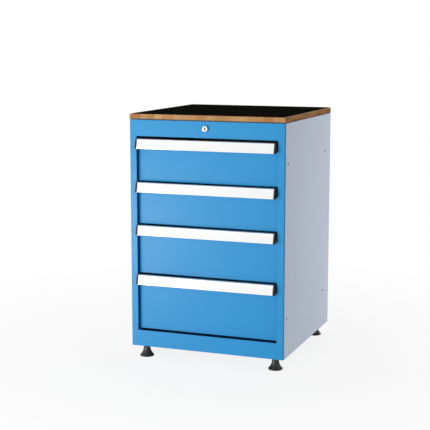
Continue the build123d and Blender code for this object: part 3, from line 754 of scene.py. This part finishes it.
def rivet_places(hardware):
    """Points down both edges of the back panel."""
    low = BACK_LOW.z + hardware.rivet_inset
    high = BACK_HIGH.z - hardware.rivet_inset
    steps = math.ceil((high - low) / hardware.rivet_pitch)
    points = []
    for side in (-1, 1):
        x = side * (BACK_HIGH.x - hardware.rivet_inset)
        for step in range(steps + 1):
            points.append((x, BACK_HIGH.y, low + (high - low) * step / steps))
    return points


def hem_path(number, radius):
    """The open edge of a tray, from its front along the sides and round the back, just inside the sheet."""
    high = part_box(f"drawer_{number}_box")[1]
    corners = frame["nodes"][f"drawer_{number}_box"].data.vertices
    rear = max(corner.co.y for corner in corners if abs(corner.co.z - high.z) < MILLIMETRE / 10)
    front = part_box(f"drawer_{number}_front")[1].y
    back = rear - radius / 3
    side = high.x - radius / 2
    top = high.z - radius / 2
    return [(-side, front, top), (-side, back, top), (side, back, top), (side, front, top)]


def round_corner(middle, radius, start, end, steps=6):
    """Points on part of a circle, from one angle to another in degrees, without the first."""
    points = []
    for step in range(1, steps + 1):
        angle = math.radians(start + (end - start) * step / steps)
        points.append((middle[0] + radius * math.cos(angle), middle[1] + radius * math.sin(angle)))
    return points


def pad_outline(low, high, hardware):
    """Bell outline with a hollow underside, a rounded rim and a collar at the neck."""
    radius = (high.x - low.x) / 2
    height = high.z - low.z
    soft = hardware.pad_round
    collar = hardware.pad_collar
    neck = radius * hardware.pad_neck
    rim = low.z + height * hardware.pad_rim
    bell_top = low.z + height * hardware.pad_bell
    ring = radius - hardware.pad_lip
    hollow = low.z + soft
    outline = [(0.0, hollow), (ring - hardware.pad_slope, hollow), (ring, low.z), (radius - soft, low.z)]
    outline += round_corner((radius - soft, low.z + soft), soft, -90, 0)
    outline += round_corner((radius - soft, rim - soft), soft, 0, 90)
    fall = bell_top - rim
    run = radius - soft - neck
    curve = (fall * fall + run * run) / (2 * run)
    sweep = math.degrees(math.asin(fall / curve))
    outline += round_corner((neck + curve, bell_top), curve, 180 + sweep, 180, steps=18)
    outline += [(neck, high.z - collar), (neck - collar, high.z), (0.0, high.z)]
    return outline


# Operators, one for each piece or group of like pieces

class CABINET_OT_paint_body(bpy.types.Operator):
    """Powder coat the front frame and drawer fronts blue, and the panels grey"""
    bl_idname = "cabinet.paint_body"
    bl_label = "Paint body"

    def execute(self, context):
        paint = context.scene.cabinet_paint
        blue = powder_coat("frame_blue", paint.blue, paint.roughness, paint.shine, paint, shade_holes_and_seam=True)
        grey = powder_coat(
            "panel_grey", paint.grey, paint.grey_roughness, paint.grey_shine, paint, shade_holes_and_seam=True)
        fronts = [f"drawer_{number}_front" for number in DRAWERS]
        dress(blue, "left_front_post", "right_front_post", "lock_rail", "bottom_rail", "base_panel", *fronts)
        dress(grey, "left_side_panel", "right_side_panel", "back_panel", "top_panel", "rear_uprights")
        return {"FINISHED"}


class CABINET_OT_rivet_back(bpy.types.Operator):
    """Rivet the back panel down both edges"""
    bl_idname = "cabinet.rivet_back"
    bl_label = "Rivet back"

    def execute(self, context):
        hardware = context.scene.cabinet_hardware
        zinc = plated_steel("zinc_plate", hardware.zinc)
        values = {"Radius": hardware.rivet_radius, "Height": hardware.rivet_height, "Finish": zinc}
        seed = point_mesh("back_rivet_places", rivet_places(hardware))
        finish_piece(grow("back_rivets", rivet_tree(), values, seed), zinc, "cabinet", "zinc_steel")
        return {"FINISHED"}


class CABINET_OT_fit_trays(bpy.types.Operator):
    """Paint the drawer trays and roll a hem round their open edges"""
    bl_idname = "cabinet.fit_trays"
    bl_label = "Fit trays"

    def execute(self, context):
        paint = context.scene.cabinet_paint
        radius = context.scene.cabinet_hardware.hem_radius
        coat = powder_coat("tray_grey", paint.tray_grey, paint.grey_roughness, paint.grey_shine, paint)
        tree = hem_tree()
        for number in DRAWERS:
            dress(coat, f"drawer_{number}_box")
            seed = point_mesh(f"drawer_{number}_hem_path", hem_path(number, radius), joined=True)
            hem = grow(f"drawer_{number}_tray_hem", tree, {"Radius": radius, "Finish": coat}, seed)
            finish_piece(hem, coat, f"drawer_{number}", "drawer_paint")
        return {"FINISHED"}


class CABINET_OT_fit_handles(bpy.types.Operator):
    """Finish the aluminium handles, their moulded caps and the blank label strips"""
    bl_idname = "cabinet.fit_handles"
    bl_label = "Fit handles"

    def execute(self, context):
        hardware = context.scene.cabinet_hardware
        aluminium = anodised_aluminium(hardware.aluminium)
        moulding = moulded_plastic("cap_moulding", hardware.moulding, hardware.cap_roughness)
        card = label_card(hardware.card)
        for number in DRAWERS:
            dress(aluminium, f"drawer_{number}_handle")
            dress(moulding, f"drawer_{number}_handle_caps")
            dress(card, f"drawer_{number}_label_strip")
        return {"FINISHED"}


class CABINET_OT_lay_worktop(bpy.types.Operator):
    """Finish the stave board, and lay a ribbed mat in place of the plain one"""
    bl_idname = "cabinet.lay_worktop"
    bl_label = "Lay worktop"

    def execute(self, context):
        worktop = context.scene.cabinet_worktop
        dress(glued_staves(worktop), "worktop_board")
        rubber = mat_rubber(worktop.rubber)
        size = MAT_HIGH - MAT_LOW
        slab = size.z - worktop.rib_height
        values = {
            "Width": size.x,
            "Depth": size.y,
            "Slab": slab,
            "Rib height": worktop.rib_height,
            "Rib width": worktop.rib_width,
            "Rib pitch": worktop.rib_pitch,
            "Border": worktop.rib_border,
            "Finish": rubber,
        }
        middle = (MAT_HIGH + MAT_LOW) / 2
        seed = point_mesh("mat_place", [(middle.x, middle.y, MAT_LOW.z + slab / 2)])
        mat = grow("ribbed_mat", mat_tree(), values, seed)
        finish_piece(mat, rubber, "cabinet", "mat_rubber", "worktop_mat")
        return {"FINISHED"}


class CABINET_OT_fit_lock(bpy.types.Operator):
    """Plate the lock's barrel, with painted shade on its flank, and the plug with painted shade in its keyway
    """
    bl_idname = "cabinet.fit_lock"
    bl_label = "Fit lock"

    def execute(self, context):
        colour = context.scene.cabinet_hardware.chrome
        dress(bright_chrome(colour), "lock_barrel")
        dress(lock_plug_plate(colour), "lock_plug")
        return {"FINISHED"}


class CABINET_OT_fit_runners(bpy.types.Operator):
    """Plate the runners, the lock's linkage and the screws with zinc, and blacken the feet's bushes"""
    bl_idname = "cabinet.fit_runners"
    bl_label = "Fit runners"

    def execute(self, context):
        hardware = context.scene.cabinet_hardware
        zinc = plated_steel("zinc_plate", hardware.zinc)
        dress(zinc, "cabinet_runners", "lock_nut", "lock_drive_rod", "locking_bar", "worktop_screws")
        dress(plated_steel("black_oxide", hardware.black_oxide), "foot_bushes")
        for number in DRAWERS:
            for piece in ("runners", "middle_runners", "ball_cages"):
                dress(zinc, f"drawer_{number}_{piece}")
        return {"FINISHED"}


class CABINET_OT_fit_feet(bpy.types.Operator):
    """Mould the bell feet and thread their studs"""
    bl_idname = "cabinet.fit_feet"
    bl_label = "Fit feet"

    def execute(self, context):
        hardware = context.scene.cabinet_hardware
        plastic = moulded_plastic("foot_moulding", hardware.foot_black, hardware.foot_roughness)
        blackened = plated_steel("black_oxide", hardware.black_oxide)
        tree = thread_tree()
        for corner in CORNERS:
            low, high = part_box(f"{corner}_foot_pad")
            centre = (low + high) / 2
            pad = lathe(f"{corner}_foot_bell", pad_outline(low, high, hardware), centre)
            finish_piece(pad, plastic, f"{corner}_foot", "foot_plastic", f"{corner}_foot_pad")
            stud_low, stud_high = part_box(f"{corner}_foot_stud")
            values = {
                "Radius": (stud_high.x - stud_low.x) / 2,
                "Length": stud_high.z - high.z,
                "Pitch": hardware.thread_pitch,
                "Finish": blackened,
            }
            seed = point_mesh(f"{corner}_stud_place", [(centre.x, centre.y, high.z)])
            stud = grow(f"{corner}_threaded_stud", tree, values, seed)
            finish_piece(stud, blackened, f"{corner}_foot", "zinc_steel", f"{corner}_foot_stud")
        return {"FINISHED"}


# Stage

def area_lamp(name, place, target, size, power):
    """A large soft lamp that looks at a point and isn't seen itself."""
    lamp = bpy.data.lights.new(name, "AREA")
    lamp.shape = "RECTANGLE"
    lamp.size, lamp.size_y = size
    lamp.energy = power
    holder = linked(name, lamp)
    holder.location = place
    holder.rotation_euler = (Vector(target) - Vector(place)).to_track_quat("-Z", "Y").to_euler()
    holder.visible_camera = False
    holder.visible_glossy = False
    return holder


def set_lamps(stage):
    """All lamps; the sheen lamp lights nothing and only shows in the paint's reflections."""
    for name, (place, target, size) in LAMPS.items():
        holder = area_lamp(f"{name}_lamp", place, target, size, getattr(stage, name))
        if name == "sheen":
            holder.visible_diffuse = False
            holder.visible_glossy = True


def seen_directly(wiring):
    """One for rays that show the surround to the eye, also in metal and glass, and nought for light."""
    path = wiring.node("ShaderNodeLightPath").outputs
    seen = wiring.maths("MAXIMUM", path["Is Camera Ray"], path["Is Glossy Ray"])
    return wiring.maths("MAXIMUM", seen, path["Is Transmission Ray"])


def white_surround(strength):
    """White world: full white where it is seen, softer as a light."""
    world = bpy.data.worlds.new("studio")
    world.use_nodes = True
    bpy.context.scene.world = world
    sky = Wiring(world.node_tree)
    sky.tree.nodes.clear()
    soft = sky.node("ShaderNodeBackground", {"Color": WHITE, "Strength": strength}).outputs["Background"]
    full = sky.node("ShaderNodeBackground", {"Color": WHITE, "Strength": 1.0}).outputs["Background"]
    mix = sky.node("ShaderNodeMixShader", {"Fac": seen_directly(sky), 1: soft, 2: full})
    sky.node("ShaderNodeOutputWorld", {"Surface": mix.outputs["Shader"]})


def pale_floor(stage):
    """Wide pale floor that holds the shadow near the feet and turns white further out."""
    reach = FLOOR_REACH
    mesh = bpy.data.meshes.new("studio_floor")
    corners = [(-reach, -reach, 0), (reach, -reach, 0), (reach, reach, 0), (-reach, reach, 0)]
    mesh.from_pydata(corners, [], [(0, 1, 2, 3)])
    finish = Finish("studio_floor")
    speckle = finish.spread(finish.noise(scale=3.0), stage.floor_tone - 0.01, stage.floor_tone + 0.01)
    tone = finish.node("ShaderNodeCombineColor", {"Red": speckle, "Green": speckle, "Blue": speckle})
    finish.set(Base_Color=tone.outputs["Color"], Roughness=0.9, Specular_IOR_Level=0.1)
    across, along, _ = finish.axes()
    fade = finish.spread(finish.far(across, along), stage.floor_white, 1.0, stage.fade_start, stage.fade_end)
    share = finish.maths("MULTIPLY", seen_directly(finish), fade)
    white = finish.node("ShaderNodeEmission", {"Color": WHITE, "Strength": 1.0}).outputs["Emission"]
    mix = finish.node("ShaderNodeMixShader", {"Fac": share, 1: finish.shader.outputs["BSDF"], 2: white})
    finish.feed(finish.out.inputs["Surface"], mix.outputs["Shader"])
    mesh.materials.append(finish.material)
    linked("studio_floor", mesh)


def photo_camera(stage):
    """Camera at the photograph's viewing angle."""
    camera = bpy.data.cameras.new("photo_camera")
    camera.sensor_width = SENSOR_WIDTH
    camera.lens = stage.lens
    camera.clip_end = CAMERA_REACH
    holder = linked("photo_camera", camera)
    holder.location = stage.camera_place
    holder.rotation_euler = (math.pi / 2 - stage.camera_tilt, 0.0, stage.camera_turn)
    return holder


class CABINET_OT_set_stage(bpy.types.Operator):
    """Make the floor, the lamps and a camera at the photograph's place"""
    bl_idname = "cabinet.set_stage"
    bl_label = "Set stage"

    def execute(self, context):
        scene = context.scene
        stage = scene.cabinet_stage
        scene.view_settings.view_transform = "Standard"
        white_surround(stage.sky)
        pale_floor(stage)
        set_lamps(stage)
        scene.camera = photo_camera(stage)
        return {"FINISHED"}


STEPS = (
    CABINET_OT_paint_body,
    CABINET_OT_rivet_back,
    CABINET_OT_fit_trays,
    CABINET_OT_fit_handles,
    CABINET_OT_lay_worktop,
    CABINET_OT_fit_lock,
    CABINET_OT_fit_runners,
    CABINET_OT_fit_feet,
    CABINET_OT_set_stage,
)


class CABINET_PT_sidebar(bpy.types.Panel):
    """Steps and settings of the cabinet"""
    bl_label = "Drawer Cabinet"
    bl_idname = "CABINET_PT_sidebar"
    bl_space_type = "VIEW_3D"
    bl_region_type = "UI"
    bl_category = "Cabinet"

    def draw(self, context):
        for operator in STEPS:
            self.layout.operator(operator.bl_idname)
        for name, group in SETTING_GROUPS.items():
            box = self.layout.box()
            settings = getattr(context.scene, name)
            for setting in group.__annotations__:
                box.prop(settings, setting)


CLASSES = (*SETTING_GROUPS.values(), *STEPS, CABINET_PT_sidebar)


def register():
    for item in CLASSES:
        bpy.utils.register_class(item)
    for name, group in SETTING_GROUPS.items():
        setattr(bpy.types.Scene, name, bpy.props.PointerProperty(type=group))


def unregister():
    for name in SETTING_GROUPS:
        delattr(bpy.types.Scene, name)
    for item in reversed(CLASSES):
        bpy.utils.unregister_class(item)


def main():
    """Register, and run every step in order."""
    register()
    bpy.ops.cabinet.paint_body()
    bpy.ops.cabinet.rivet_back()
    bpy.ops.cabinet.fit_trays()
    bpy.ops.cabinet.fit_handles()
    bpy.ops.cabinet.lay_worktop()
    bpy.ops.cabinet.fit_lock()
    bpy.ops.cabinet.fit_runners()
    bpy.ops.cabinet.fit_feet()
    bpy.ops.cabinet.set_stage()


if __name__ == "__main__":
    main()
